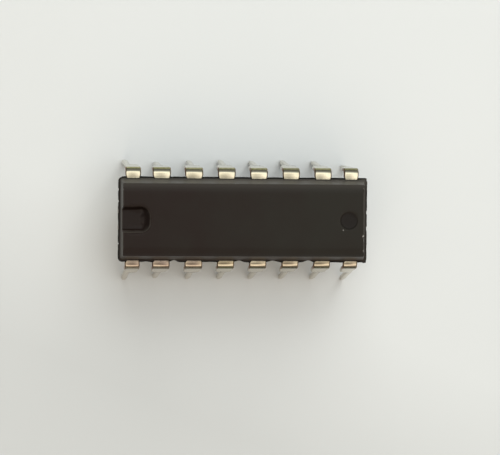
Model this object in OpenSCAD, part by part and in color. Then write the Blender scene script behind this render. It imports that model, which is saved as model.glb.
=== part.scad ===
// Dual in-line integrated circuit, sixteen leads, 7.62 mm row spacing.
// X runs along the case with the notch at -X, Z is up, and the lead tips stand on z = 0.
// Pin 1 is the first lead on the -Y side, counted from the notch; pin 16 faces it.

/* [Case] */
// Length of the case at the parting line, without flash
case_l = 19.24; // [18.9:0.02:19.6]
// Width of the case at the parting line, without flash
case_w = 6.35; // [6.2:0.05:6.6]
// Thickness of the case
case_h = 3.3; // [3.1:0.05:3.5]
// Draft of the two end faces, in degrees
end_draft = 8; // [5:0.5:12]
// Draft of the two long faces, in degrees
side_draft = 13; // [8:0.5:16]
// Rounding of the edges of the top and bottom faces
edge_r = 0.12; // [0.06:0.02:0.2]
// Rounding of the four upright corners
corner_r = 0.3; // [0.1:0.05:0.5]
// How far the flash stands out along the parting line
flash = 0.17; // [0.06:0.01:0.2]

/* [Notch and ejector marks] */
// Width of the pin-one notch
notch_w = 2.05; // [1.6:0.05:2.4]
// Reach of the notch in from the edge of the top face
notch_l = 2.15; // [1.6:0.05:2.6]
// Depth of the notch
notch_d = 0.5; // [0.3:0.05:0.7]
// Radius of the two inner corners of the notch
notch_r = 0.65; // [0.3:0.05:0.75]
// Diameter of an ejector mark
mark_d = 1.38; // [1:0.02:1.8]
// Depth of an ejector mark
mark_depth = 0.06; // [0.03:0.01:0.12]
// Distance of the ejector marks from the middle of the case
mark_x = 8.2; // [7.6:0.05:8.3]

/* [Leads] */
// Distance between neighbouring leads
pitch = 2.54; // [2.5:0.01:2.56]
// Distance between the two rows, middle to middle, just under the bend
row_spacing = 7.62; // [7.5:0.02:7.9]
// Thickness of the lead metal
lead_t = 0.25; // [0.2:0.01:0.3]
// Width of a lead where it leaves the case
neck_w = 1.25; // [1.1:0.05:1.35]
// Width of a lead over its shoulder, with the cut ends of the dam bar
shoulder_w = 1.4; // [1.36:0.02:1.5]
// Width of the slim leg that goes into the board
leg_w = 0.46; // [0.38:0.02:0.56]
// Length of the slim leg below the seating plane
leg_l = 3.3; // [2.9:0.1:3.6]
// Gap between the board and the underside of the case
stand_off = 0.45; // [0.38:0.01:0.6]
// Radius on the inside of the bend
bend_r = 0.2; // [0.12:0.02:0.25]
// Outward splay of the legs of a new part, in degrees
splay = 8; // [0:1:12]

/* [Inside] */
// Length of the die pad
pad_l = 3.6; // [3:0.1:4]
// Width of the die pad
pad_w = 2.7; // [2.3:0.05:2.8]
// How far the die pad is pressed down below the leads
pad_drop = 0.2; // [0:0.05:0.3]
// Length of the silicon die
die_l = 2.2; // [1.6:0.1:2.6]
// Width of the silicon die
die_w = 1.7; // [1.4:0.1:2]
// Thickness of the silicon die
die_t = 0.35; // [0.25:0.05:0.45]
// Diameter of a bond wire, drawn with a square section
wire_d = 0.03; // [0.024:0.002:0.04]
// Height of a wire loop above the die
loop_h = 0.2; // [0.12:0.02:0.3]

/* [Hidden] */
leads_a_side = 8;
lead_count = 2 * leads_a_side;

$fn = 48;
part_z = leg_l + stand_off + case_h / 2;      // parting plane of the mould
top_z = part_z + case_h / 2;
bottom_z = part_z - case_h / 2;
half_l = case_l / 2;
half_w = case_w / 2;
end_run = case_h / 2 * tan(end_draft);        // what the draft takes off each end at the top
side_run = case_h / 2 * tan(side_draft);
notch_slope = 0.5;                            // run of the sloping inner end of the notch
notch_wall = 0.22;                            // run of each side wall of the notch

end_shift = 0.3;                              // the end leads' shoulders sit this far inward
end_narrower = 0.2;                           // and are this much narrower
stub_y = half_w + 0.22;                       // where the neck has widened to the shoulder
stub_drop = 0.9;                              // the dam-bar stub ends this far below the leads
stub_side = 0.06;                             // what the stub stands out at each side
step_h = 0.4;                                 // height of the slope from shoulder to leg
tip_h = 0.6;                                  // height of the tapered tip
tip_w = leg_w * 0.6;

bend_y = row_spacing / 2 + lead_t / 2 - lead_t - bend_r;   // centre of the bend
bend_z = part_z - lead_t / 2 - bend_r;

finger_w = 0.42;                              // inner fingers, at their tips
finger_gap = 0.2;                             // gap between neighbouring pieces of the lead frame
anchor_l = 0.62;                              // wide anchor of each lead, just inside the case
anchor_taper = 0.85;                          // its inner end, as a share of the neck's width
anchor_y = half_w - anchor_l;
lock_d = 0.42;                                // hole that the case material locks into
elbow_in = 0.35;                              // a finger turns this far inward of its lead
elbow_step = 0.27;                            // and this much more for each place further out
mid_tip_x = 0.5;                              // tips of the two middle fingers
stem_w = 0.5;                                 // tie bar next to the pad
tie_y = 0.635;                                // the two tie bars of an end lie at +- this
tie_w = 0.28;
fork_in = 1.2;                                // the tie bar forks this far from the case's end
fork_l = 0.4;
fork_gap = 0.75;                              // from the fork to the elbow of the last finger
slope_at = 0.1;                               // the tie bar's slope starts this far off the pad
slope_l = 0.45;
fork_x = half_l - fork_in;

glue_t = 0.03;
glue_edge = 0.06;                             // glue squeezed out round the die
pad_top = part_z + lead_t / 2 - pad_drop;
die_top = pad_top + glue_t + die_t;
finger_top = part_z + lead_t / 2;
bond_edge = 0.1;                              // bonds lie this far from the die's edge
bond_end = 0.25;                              // and the long rows stop this far from its corners
land_l = 0.22;                                // wires land this far behind a finger's tip
ball_d = 3 * wire_d;
wire_steps = 8;
over = 1;                                     // how far cutting shapes stand out past what they cut

// Pins 1 to 8 run from the notch along -Y, pins 9 to 16 come back along +Y.
function lead_side(n) = n <= leads_a_side ? -1 : 1;
function lead_slot(n) = n <= leads_a_side ? n - 1 : lead_count - n;
function slot_offset(slot) = slot - (leads_a_side - 1) / 2;
function is_end(slot) = slot == 0 || slot == leads_a_side - 1;
function leg_x(slot) = slot_offset(slot) * pitch;
function shoulder_x(slot) = leg_x(slot) - (is_end(slot) ? sign(slot_offset(slot)) * end_shift : 0);
function slot_width(slot, w) = w - (is_end(slot) ? end_narrower : 0);

function unit(v) = v / norm(v);
function along(path, i) =
    unit((i > 0 ? unit(path[i] - path[i - 1]) : [0, 0])
        + (i < len(path) - 1 ? unit(path[i + 1] - path[i]) : [0, 0]));
function mitre(path, i) =
    i > 0 && i < len(path) - 1 ? along(path, i) * unit(path[i + 1] - path[i]) : 1;
function edge_point(path, widths, i, side) =
    path[i] + side * widths[i] / 2 / mitre(path, i) * [-along(path, i)[1], along(path, i)[0]];
// Outline of a strip that follows a path, with its own width at each point
function strip(path, widths) = [
    for (i = [0 : len(path) - 1]) edge_point(path, widths, i, 1),
    for (i = [len(path) - 1 : -1 : 0]) edge_point(path, widths, i, -1)
];

// The fingers of the outer leads come in side by side, one lane above the other.
function lane_y(lane) = stem_w / 2 + finger_gap + finger_w / 2 + lane * (finger_w + finger_gap);
// Only the two middle leads of a row run straight on to the long side of the die pad.
function finger_path(slot) =
    let (far = abs(slot_offset(slot)), s = sign(slot_offset(slot)), x = abs(shoulder_x(slot)),
         y = lane_y(leads_a_side / 2 - 0.5 - far),
         elbow = is_end(slot) ? fork_x - fork_gap : x - elbow_in - elbow_step * far,
         tip = far < 2 ? (pitch + neck_w * anchor_taper) / 2 + finger_gap : pad_l / 2 + finger_gap,
         inner = far < 1 ? [[s * mid_tip_x, pad_w / 2 + finger_gap]] : [[s * elbow, y], [s * tip, y]])
    concat([[s * x, half_w], [s * x, anchor_y]], inner);
function finger_widths(slot) =
    let (neck = slot_width(slot, neck_w), elbow = len(finger_path(slot)) > 3 ? [finger_w * 1.15] : [])
    concat([neck, neck * anchor_taper], elbow, [finger_w]);

// Points of a profile whose upper and lower faces have rounded edges.
// Half is the half length of the profile at the parting plane, run what the draft takes off it.
function rounded_corner(x, z, r, draft, sx, sz) =
    let (turn = 90 - draft, reach = r * tan(turn / 2), cx = x - reach, cz = z - r)
    [for (a = [0 : turn / 4 : turn])
        let (deg = sx * sz > 0 ? turn - a : a)
        [sx * (cx + r * sin(deg)), sz * (cz + r * cos(deg))]];
function drafted_profile(half, run, draft) = concat(
    [[half, 0]], rounded_corner(half - run, case_h / 2, edge_r, draft, 1, 1),
    rounded_corner(half - run, case_h / 2, edge_r, draft, -1, 1), [[-half, 0]],
    rounded_corner(half - run, case_h / 2, edge_r, draft, -1, -1),
    rounded_corner(half - run, case_h / 2, edge_r, draft, 1, -1));

// Extrude a drawing made in the XZ plane along Y, or in the YZ plane along X, about the middle
module along_y(len) { rotate([90, 0, 0]) linear_extrude(len, center = true) children(); }
module along_x(len) { rotate([90, 0, 90]) linear_extrude(len, center = true) children(); }

module rounded_plate(l, w, r, t) {
    linear_extrude(t, center = true) {
        square([l, w - 2 * r], center = true);
        square([l - 2 * r, w], center = true);
        for (x = [-1, 1], y = [-1, 1]) translate([x * (l / 2 - r), y * (w / 2 - r)]) circle(r);
    }
}

module case_shape() {
    translate([0, 0, part_z]) {
        intersection() {
            along_y(case_w + over) polygon(drafted_profile(half_l, end_run, end_draft));
            along_x(case_l + over) polygon(drafted_profile(half_w, side_run, side_draft));
            rounded_plate(case_l, case_w, corner_r, case_h);
        }
        rounded_plate(case_l + 2 * flash, case_w + 2 * flash, corner_r + flash, lead_t);
    }
}

// The notch is open at the end of the case, has sloping walls and round inner corners.
module notch() {
    inner_x = -half_l + end_run + notch_l;
    reach = notch_l + end_run + over;
    floor_w = notch_w - 2 * notch_wall;
    intersection() {
        translate([0, 0, top_z]) along_x(2 * case_l) polygon([
            [-notch_w / 2, over], [-notch_w / 2, 0], [-floor_w / 2, -notch_d],
            [floor_w / 2, -notch_d], [notch_w / 2, 0], [notch_w / 2, over]]);
        translate([inner_x, 0, top_z]) along_y(case_w)
            polygon([[-reach, over], [0, over], [0, 0], [-notch_slope, -notch_d], [-reach, -notch_d]]);
        translate([inner_x, 0, top_z - notch_d]) linear_extrude(notch_d + over) {
            translate([-reach, -notch_w / 2]) square([reach - notch_r, notch_w]);
            translate([-reach, notch_r - notch_w / 2]) square([reach, notch_w - 2 * notch_r]);
            for (y = [-1, 1]) translate([-notch_r, y * (notch_w / 2 - notch_r)]) circle(notch_r);
        }
    }
}

module ejector_marks() {
    translate([mark_x, 0, top_z - mark_depth]) cylinder(d = mark_d, h = over);
    for (x = [-1, 1]) translate([x * mark_x, 0, bottom_z + mark_depth - over])
        cylinder(d = mark_d, h = over);
}

module body() {
    color([0.16, 0.15, 0.14]) difference() {
        case_shape();
        notch();
        ejector_marks();
        for (n = [1 : lead_count]) {
            lead(n);
            bond_wire(n);
        }
        die_pad();
        die_attach();
        die();
    }
}

// Side view of a lead outside the case, in Y and Z: shoulder, bend and splayed leg
module lead_profile() {
    outer_r = bend_r + lead_t;
    leg_drop = bend_z / cos(splay) + lead_t;
    difference() {
        union() {
            translate([half_w, part_z - lead_t / 2]) square([bend_y - half_w, lead_t]);
            translate([bend_y, bend_z]) intersection() {
                difference() {
                    circle(outer_r);
                    circle(bend_r);
                }
                polygon([[0, 0], [0, 2 * outer_r], [2 * outer_r, 2 * outer_r],
                    [2 * outer_r * cos(splay), 2 * outer_r * sin(splay)]]);
            }
            translate([bend_y, bend_z]) rotate(splay) translate([bend_r, -leg_drop])
                square([lead_t, leg_drop]);
        }
        translate([0, -row_spacing]) square([2 * row_spacing, row_spacing]);
    }
}

// Front view of a lead, in X and Z, with its leg at x = 0 and its shoulder shifted by dx
module lead_front(dx, w) {
    low_w = w - 2 * stub_side;
    stub_z = part_z - stub_drop;
    polygon([
        [dx + w / 2, top_z], [dx + w / 2, stub_z], [dx + low_w / 2, stub_z],
        [dx + low_w / 2, leg_l + step_h], [leg_w / 2, leg_l], [leg_w / 2, tip_h], [tip_w / 2, 0],
        [-tip_w / 2, 0], [-leg_w / 2, tip_h], [-leg_w / 2, leg_l], [dx - low_w / 2, leg_l + step_h],
        [dx - low_w / 2, stub_z], [dx - w / 2, stub_z], [dx - w / 2, top_z]]);
}

module lead_outside(slot) {
    dx = shoulder_x(slot) - leg_x(slot);
    neck = slot_width(slot, neck_w);
    shoulder = slot_width(slot, shoulder_w);
    translate([leg_x(slot), 0, 0]) intersection() {
        along_x(2 * pitch) lead_profile();
        translate([0, row_spacing / 2, 0]) along_y(row_spacing) lead_front(dx, shoulder);
        linear_extrude(top_z) polygon([
            [dx - neck / 2, half_w], [dx - shoulder / 2, stub_y], [dx - shoulder / 2, row_spacing],
            [dx + shoulder / 2, row_spacing], [dx + shoulder / 2, stub_y], [dx + neck / 2, half_w]]);
    }
}

module lead_inside(slot) {
    translate([0, 0, part_z - lead_t / 2]) linear_extrude(lead_t) difference() {
        polygon(strip(finger_path(slot), finger_widths(slot)));
        translate([shoulder_x(slot), (half_w + anchor_y) / 2]) circle(d = lock_d);
    }
}

module lead(n) {
    slot = lead_slot(n);
    flip = lead_side(n) < 0 ? [0, 1, 0] : [0, 0, 0];
    color([0.78, 0.74, 0.64]) mirror(flip) {
        lead_outside(slot);
        lead_inside(slot);
    }
}

// The die pad hangs on a forked tie bar at each end and lies lower than the leads.
module die_pad() {
    end_x = half_l + flash;
    slope_x = pad_l / 2 + slope_at;
    half_line = [[slope_x, -pad_drop], [slope_x + slope_l, 0], [end_x, 0]];
    mid_line = concat([for (i = [2 : -1 : 0]) [-half_line[i][0], half_line[i][1]]], half_line);
    half_t = [0, lead_t / 2];
    color([0.72, 0.45, 0.3]) intersection() {
        translate([0, 0, part_z]) along_y(case_w) polygon(concat(
            [for (p = mid_line) p + half_t],
            [for (i = [len(mid_line) - 1 : -1 : 0]) mid_line[i] - half_t]));
        linear_extrude(top_z) {
            square([pad_l, pad_w], center = true);
            for (s = [-1, 1]) {
                translate([s * (fork_x + fork_l) / 2, 0]) square([fork_x + fork_l, stem_w], center = true);
                translate([s * (fork_x + fork_l / 2), 0]) square([fork_l, 2 * tie_y + tie_w], center = true);
                for (y = [-tie_y, tie_y])
                    translate([s * (fork_x + end_x) / 2, y]) square([end_x - fork_x, tie_w], center = true);
            }
        }
    }
}

module die_attach() {
    color([0.75, 0.75, 0.75]) translate([0, 0, pad_top + glue_t / 2])
        cube([die_l + 2 * glue_edge, die_w + 2 * glue_edge, glue_t], center = true);
}

module die() {
    color([0.35, 0.35, 0.4]) translate([0, 0, die_top - die_t / 2])
        cube([die_l, die_w, die_t], center = true);
}

// Where the wire of a lead starts on the die: the outermost leads use its short ends
function bond_point(slot) =
    let (o = slot_offset(slot), s = sign(o))
    is_end(slot)
        ? [s * (die_l / 2 - bond_edge), die_w * 0.2]
        : [o * (die_l - 2 * bond_end) / (leads_a_side - 3), die_w / 2 - bond_edge];
function land_point(slot) =
    let (p = finger_path(slot), tip = p[len(p) - 1]) tip + land_l * unit(p[len(p) - 2] - tip);

// A wire rises steeply from its ball and comes down flat on the finger: a Bezier curve
function loop_pull(span) = [0.15 * span, 2.2 * loop_h];
function loop_point(span, drop, t) = 2 * t * (1 - t) * loop_pull(span) + t * t * [span, -drop];
function loop_across(span, drop, t) =
    let (d = (1 - t) * loop_pull(span) + t * ([span, -drop] - loop_pull(span))) unit([-d[1], d[0]]);

module bond_wire(n) {
    slot = lead_slot(n);
    from = bond_point(slot);
    to = land_point(slot);
    span = norm(to - from);
    drop = die_top - finger_top;
    steps = [for (i = [0 : wire_steps]) i / wire_steps];
    lower = [for (t = steps) loop_point(span, drop, t)];
    upper = [for (t = steps) loop_point(span, drop, t) + wire_d * loop_across(span, drop, t)];
    flip = lead_side(n) < 0 ? [0, 1, 0] : [0, 0, 0];
    color([0.9, 0.7, 0.2]) mirror(flip) translate([from[0], from[1], die_top])
        rotate(atan2(to[1] - from[1], to[0] - from[0])) {
            along_y(wire_d) polygon(concat(lower, [for (i = [wire_steps : -1 : 0]) upper[i]]));
            cylinder(d = ball_d, h = wire_d, $fn = 12);
            translate([span - wire_d, -wire_d, -drop]) cube([4 * wire_d, 2 * wire_d, wire_d / 2]);
        }
}

body();
die_pad();
die_attach();
die();
for (n = [1 : lead_count]) {
    lead(n);
    bond_wire(n);
}
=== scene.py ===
# Looks, light and camera for a sixteen-lead dual in-line chip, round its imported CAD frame.
# The case lies along X with the notch at -X, and the lead tips stand on z = 0.
import math
import random

import bmesh
import bpy
from mathutils import Matrix, Vector, noise
from mathutils.geometry import delaunay_2d_cdt


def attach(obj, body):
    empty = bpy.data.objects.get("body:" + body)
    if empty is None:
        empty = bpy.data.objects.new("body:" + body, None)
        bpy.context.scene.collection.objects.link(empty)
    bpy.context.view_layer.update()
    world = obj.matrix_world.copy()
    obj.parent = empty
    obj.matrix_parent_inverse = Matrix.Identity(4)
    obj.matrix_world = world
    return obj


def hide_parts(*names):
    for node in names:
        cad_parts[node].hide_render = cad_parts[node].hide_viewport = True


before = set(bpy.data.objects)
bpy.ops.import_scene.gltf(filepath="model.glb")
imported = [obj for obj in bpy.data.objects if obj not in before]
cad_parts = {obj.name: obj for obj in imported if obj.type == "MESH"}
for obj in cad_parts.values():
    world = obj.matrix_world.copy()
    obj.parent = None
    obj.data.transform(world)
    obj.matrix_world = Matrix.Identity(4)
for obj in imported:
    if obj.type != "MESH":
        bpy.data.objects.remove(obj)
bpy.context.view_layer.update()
mm = 0.001  # lengths below are in millimetres

# camera, from the photograph's perspective
view = {
    "place": (-11.93, 2.403, 135.4),
    "turn": (0.0231, 0.0960, -0.0053),  # radians about X, Y and Z, from looking straight down
    "lens": 119.74,
}


def makeCamera(v):
    data = bpy.data.cameras.new("viewCamera")
    data.lens, data.sensor_width = v["lens"], 36
    data.clip_start, data.clip_end = 0.005, 5
    camera = bpy.data.objects.new("viewCamera", data)
    bpy.context.scene.collection.objects.link(camera)
    turn = Matrix.Identity(3)
    for angle, axis in zip(v["turn"], "XYZ"):
        turn = Matrix.Rotation(angle, 3, axis) @ turn
    camera.matrix_world = Matrix.Translation(Vector(v["place"]) * mm) @ turn.transposed().to_4x4()
    bpy.context.scene.camera = camera


makeCamera(view)
print("camera: standing at the photograph's angle")


# small helpers for meshes
def smoothStep(low, high, value):
    t = min(1, max(0, (value - low) / (high - low)))  # low may be the greater, for a fall
    return t * t * (3 - 2 * t)


def softRamp(t, soft):
    # 0 before 0 and 1 after 1, straight between, with both corners rounded over soft
    if t <= -soft:
        return 0
    if t < soft:
        return (t + soft) ** 2 / (4 * soft)
    if t <= 1 - soft:
        return t
    if t < 1 + soft:
        return 1 - (1 + soft - t) ** 2 / (4 * soft)
    return 1


def mix(a, b, share):
    return a + (b - a) * share


def steps(low, high, count):
    return [mix(low, high, i / count) for i in range(count + 1)]


def meshPiece(name, points, faces, values, sharpAngle):
    # values holds one number or one vector for each point, under the name that materials read
    mesh = bpy.data.meshes.new(name)
    mesh.from_pydata([Vector(p) * mm for p in points], [], faces)
    mesh.validate()
    for label, numbers in values.items():
        isVector = hasattr(numbers[0], "__len__")
        layer = mesh.attributes.new(label, "FLOAT_VECTOR" if isVector else "FLOAT", "POINT")
        flat = [n for v in numbers for n in v] if isVector else numbers
        layer.data.foreach_set("vector" if isVector else "value", flat)
    mesh.shade_smooth()
    mesh.set_sharp_from_angle(angle=math.radians(sharpAngle))
    piece = bpy.data.objects.new(name, mesh)
    bpy.context.scene.collection.objects.link(piece)
    return piece


# the moulded case
case = {
    "halfLength": 9.62, "halfWidth": 3.175, "halfHeight": 1.65, "middle": 5.4,
    "endDraft": 8, "sideDraft": 13,
    "edgeRadius": 0.12,
    "notchCorner": (0.17, 0.09), "farCorner": (0.10, 0.09),  # radii at the parting plane and at the top
    "topInsets": (0.03, 0.08, 0.15, 0.3),
    "crown": 0.07, "crownWidth": 0.55,    # the top face falls away towards its long edges
    "barY": 0.635, "barHalf": 0.14,       # where the tie bars meet the end walls
    "coreX": 8.0, "coreY": 1.4,           # within these every ring has its points at the same places
    "wallLevels": (0.155, 0.35, 0.6, 0.85, 1.05, 1.15, 1.26, 1.37, 1.46),
    "edgeAngles": (72, 60, 48, 36, 24, 12, 0),
    "fillSpacing": 0.16, "sharpAngle": 42,
}
notch = {"halfWidth": 1.025, "end": -7.238, "radius": 0.8, "depth": 0.5,
         "sideRun": 0.27, "endRun": 0.9, "soft": 0.2}
ejector = {"places": (-8.2, 8.2), "radius": 0.69, "depth": 0.06, "run": 0.07, "soft": 0.5}
flash = {
    # the ledge's own section: height above the parting plane and share of its width
    "profile": ((0.104, 1.0), (0.131, 0.9), (0.131, 0.12)),
    "back": 0.2, "front": 0.185, "notchEnd": 0.15, "farEnd": (0.235, 0.25), "rough": 0.022,
    "atLead": 0.08, "overBars": (0.14, 0.2),  # resin bled over the leads, and over the tie bars at each end
    "notchBreaks": (2.33, 1.405, -1.9), "breakWidth": 0.07, "breakDepth": 0.07,
    # a bite out of the front flash for each gap between two leads: place, depth and width, as shares
    "bites": ((0.5, 0.22, 0.2), (0.27, 0.78, 0.2), (0.6, 0.15, 0.3), (0.3, 0.72, 0.24), (0.4, 0.7, 0.3),
              (0.6, 0.95, 0.26), (0.5, 0.06, 0.3)),
}
caseMasks = ("flashMask", "edgeSheenAndWearMask", "hollowMask", "chipMask", "sideMask")
# small chips along the top edges: x, y, height above the middle, radius, depth
chips = [(9.40, -1.24, 1.62, 0.15, 0.09), (9.42, -1.52, 1.55, 0.12, 0.05), (9.40, 2.52, 1.6, 0.13, 0.06),
         (-9.40, 2.33, 1.62, 0.1, 0.03), (9.38, -2.35, 1.6, 0.12, 0.04)]

lead = {
    "pitch": 2.54, "thick": 0.25, "neck": 1.25, "shoulder": 1.4, "leg": 0.46, "endNarrower": 0.2,
    "endShift": 0.3, "bendY": 3.485, "bendZ": 5.075, "bendRadius": 0.2, "splay": 8,
    "stubY": 3.395, "stubZ": 4.5, "stubSide": 0.06, "legTop": 3.3, "stepTop": 3.7,
    "tipZ": 0.6, "tipShare": 0.6, "thinFrom": 0.7,
    # where a strip has a ring: on its way out of the case, and down the leg
    "outPlaces": (3.215, 3.26, 3.3, 3.35, 3.395, 3.44, 3.485), "bendSteps": 14,
    "legLevels": (4.98, 4.84, 4.72, 4.62, 4.54, 4.505, 4.495, 4.4, 4.2, 4.0, 3.84, 3.74, 3.7, 3.66, 3.6, 3.54,
                  3.48, 3.42, 3.36, 3.32, 3.3, 3.26, 3.1, 2.7, 2.3, 1.9, 1.5, 1.1, 0.8, 0.66, 0.6, 0.54, 0.42,
                  0.3, 0.2, 0.12, 0.06, 0.02, 0.0),
    "roll": 0.11, "burr": 0.02,          # rounding of the outer and the inner edges
    "sharpAngle": 35, "sectionPoints": 16, "upperCorners": (3, 4), "lowerCorners": (11, 12),
    # how the real leads differ from each other, from the notch on: shoulder width and shift
    "frontWidths": (-0.03, -0.03, 0.0, -0.03, -0.04, -0.06, -0.06, -0.05),
    "backWidths": (0.02, 0.03, 0.03, 0.0, 0.0, -0.03, -0.03, -0.02),
    "frontShifts": (-0.04, -0.04, -0.03, -0.05, -0.04, -0.04, -0.06, -0.04),
    "backShifts": (0.0, -0.01, -0.02, 0.0, 0.0, 0.01, 0.0, 0.0),
    # the strip sits a little towards +Y in the mould: how far out each bend is
    "frontReaches": (-0.02, -0.03, -0.04, -0.07, -0.08, -0.09, -0.1, -0.1),
    "backReaches": (0.17, 0.16, 0.145, 0.16, 0.155, 0.175, 0.185, 0.2),
    # how far each tip is bent aside and outwards
    "frontLeans": ((-0.25, 0.42), (-0.3, 0.3), (-0.2, 0.38), (-0.15, 0.4), (-0.15, 0.4), (-0.15, 0.4),
                   (-0.12, 0.42), (-0.15, 0.46)),
    "backLeans": ((-0.3, -0.05), (-0.3, -0.2), (-0.15, -0.05), (-0.15, 0.0), (-0.15, -0.05), (-0.15, 0.0),
                  (-0.12, -0.05), (-0.2, -0.4)),
    # how much darker and warmer each lead's plating is, far more along pins 1 to 8 than along pins 9 to 16
    "frontDarkening": (1.0, 0.9, 0.85, 0.72, 0.66, 0.74, 0.6, 0.6),
    "backDarkening": (0.05, 0.0, 0.12, 0.06, 0.0, 0.1, 0.03, 0.0),
    "frontBlush": (0.75, 0.8, 0.7, 0.1, 0.35, 0.45, 0.25, 0.4),  # copper showing through the plating
    "backBlush": (0.02, 0.0, 0.05, 0.05, 0.02, 0.08, 0.02, 0.0),
    "frontBendShade": (0.5, 0.7, 0.7, 0.7, 0.85, 0.9, 0.85, 0.9),  # how dark the painted reflection on the outside of the bend is
    "backBendShade": (0.0, 0.05, 0.05, 0.15, 0.1, 0.35, 0.1, 0.3),
}
leadMasks = ("cutMask", "bendMask", "flatShadeMask", "rawMask", "wallMask", "legMask", "stripPlace")


def slotOffset(slot):
    return slot - 3.5


def isEnd(slot):
    return slot in (0, 7)


def shoulderX(slot):
    side = 1 if slotOffset(slot) > 0 else -1
    return slotOffset(slot) * lead["pitch"] - (side * lead["endShift"] if isEnd(slot) else 0)


def neckHalf(slot):
    return (lead["neck"] - (lead["endNarrower"] if isEnd(slot) else 0)) / 2


def faceHalf(up, half, draft):
    # How far a drafted face stands out, at a height above or below the parting plane
    radius, slope = case["edgeRadius"], math.tan(math.radians(draft))
    over = abs(up) - (case["halfHeight"] - radius)
    if over <= radius * math.sin(math.radians(draft)):
        return half - abs(up) * slope
    reach = radius * math.tan(math.radians((90 - draft) / 2))
    return half - case["halfHeight"] * slope - reach + math.sqrt(max(0, radius ** 2 - over ** 2))


def notchShare(x, y):
    # 0 outside the notch and 1 on its floor, with a steep wall at the sides and a slope at its end
    cx, cy = notch["end"] - notch["radius"], notch["halfWidth"] - notch["radius"]
    if x < cx:
        t = (notch["halfWidth"] - abs(y)) / notch["sideRun"]
    elif abs(y) < cy:
        t = (notch["end"] - x) / notch["endRun"]
    else:
        away = math.hypot(x - cx, abs(y) - cy)
        along = ((x - cx) / away) ** 2 if away > 1e-6 else 1
        t = (notch["radius"] - away) / mix(notch["sideRun"], notch["endRun"], along)
    if 0 < t < 1:
        # the end slope is a hollow
        t = mix(t, t * (2 - t), smoothStep(notch["end"] - 1.3, notch["end"] - 0.5, x))
    return softRamp(t, notch["soft"])


def ejectorShare(x, y, places):
    nearest = min(math.hypot(x - px, y) for px in places)
    return softRamp((ejector["radius"] - nearest) / ejector["run"], ejector["soft"])


def topDrop(x, y):
    toEdge = faceHalf(case["halfHeight"], case["halfWidth"], case["sideDraft"]) - abs(y)
    crown = case["crown"] * (1 - smoothStep(0, case["crownWidth"], toEdge))
    uneven = 0.003 * noise.noise(Vector((x * 0.35, y * 0.5, 3.1)))
    return (notch["depth"] * notchShare(x, y) + ejector["depth"] * ejectorShare(x, y, ejector["places"][1:])
            + crown + uneven + 0.003)


def bottomDrop(x, y):
    return ejector["depth"] * ejectorShare(x, y, ejector["places"])


# Stations are the places round the case at which its rings have a point.
def sideStations():
    limit = case["halfLength"] - case["notchCorner"][0]
    found = set(round(x, 4) for x in steps(-limit, limit, 186))
    for slot in range(8):
        for edge in (-1, 1):
            for beyond in (-0.012, 0.012, 0.05):
                found.add(round(shoulderX(slot) + edge * (neckHalf(slot) + beyond), 4))
    return thinned(found)


def endStations():
    limit = case["halfWidth"] - case["notchCorner"][0]
    found = set(round(y, 4) for y in steps(-limit, limit, 66))
    kept = set()
    for t in notchLevels:
        for side in (-1, 1):
            kept.add(round(side * (notch["halfWidth"] - notch["sideRun"] * t), 4))
    for bar in (-case["barY"], case["barY"]):
        for edge in (case["barHalf"], case["barHalf"] + 0.012):
            kept.update((round(bar - edge, 4), round(bar + edge, 4)))
    return thinned(found, kept)


def thinned(found, kept=()):
    # Leaves out a plain station that lies too near another one
    chosen = sorted(kept)
    for place in sorted(found):
        if all(abs(place - other) > 0.02 for other in chosen) or (not kept and place not in chosen):
            chosen.append(place)
    return sorted(chosen)


notchLevels = (-0.16, -0.05, 0.06, 0.16, 0.35, 0.6, 0.84, 0.94, 1.05, 1.16)
sidePlaces = sideStations()
endPlaces = endStations()
cornerSteps = 6


def squeezed(place, core, was, now):
    if abs(place) <= core:
        return place
    return math.copysign(core + (abs(place) - core) * (now - core) / (was - core), place)


def ringOutline(halfX, halfY, radii):
    # Points round the case from the +X end, counter-clockwise, each with its outward direction
    atNotch, atFar = radii
    limitX, limitY = case["halfLength"] - case["notchCorner"][0], case["halfWidth"] - case["notchCorner"][0]
    xs = [squeezed(x, case["coreX"], limitX, halfX - (atNotch if x < 0 else atFar)) for x in sidePlaces]
    ring = []

    def end(side, radius):
        ys = [squeezed(y, case["coreY"], limitY, halfY - radius) for y in endPlaces]
        ring.extend((side * halfX, y, side, 0) for y in (ys if side > 0 else reversed(ys)))

    def corner(quarter, radius):
        sx, sy = ((1, 1), (-1, 1), (-1, -1), (1, -1))[quarter]
        for i in range(1, cornerSteps):
            angle = math.radians(90 * (quarter + i / cornerSteps))
            c, s = math.cos(angle), math.sin(angle)
            ring.append((sx * (halfX - radius) + radius * c, sy * (halfY - radius) + radius * s, c, s))

    end(1, atFar)
    corner(0, atFar)
    ring.extend((x, halfY, 0, 1) for x in reversed(xs))
    corner(1, atNotch)
    end(-1, atNotch)
    corner(2, atNotch)
    ring.extend((x, -halfY, 0, -1) for x in xs)
    corner(3, atFar)
    return ring


def flashWidth(x, y, nx, ny):
    # The flash fills the gaps between the metal parts, and is cut back unevenly
    uneven = flash["rough"] * (noise.noise(Vector((x * 2.2, y * 2.2, 0.7)))
                               + 0.5 * noise.noise(Vector((x * 7, y * 7, 5.2))))
    if abs(ny) > 0.99:
        if any(abs(x - shoulderX(slot)) < neckHalf(slot) + 0.005 for slot in range(8)):
            return flash["atLead"]
        return flash["back"] + uneven if ny > 0 else max(0.015, flash["front"] * bitten(x) + 0.6 * uneven)
    if abs(nx) > 0.99:
        if abs(abs(y) - case["barY"]) < case["barHalf"] + 0.007:
            return flash["overBars"][0 if x < 0 else 1]
        if nx > 0:
            return mix(*flash["farEnd"], smoothStep(-3, 3, y)) + uneven
        breaks = sum(math.exp(-((y - b) / flash["breakWidth"]) ** 2) for b in flash["notchBreaks"])
        return flash["notchEnd"] + uneven - flash["breakDepth"] * breaks
    if x < 0:
        return flash["notchEnd"] + uneven
    return 0.92 * flash["farEnd"][0] / max(abs(nx), abs(ny))  # the far corners are nearly square


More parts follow.
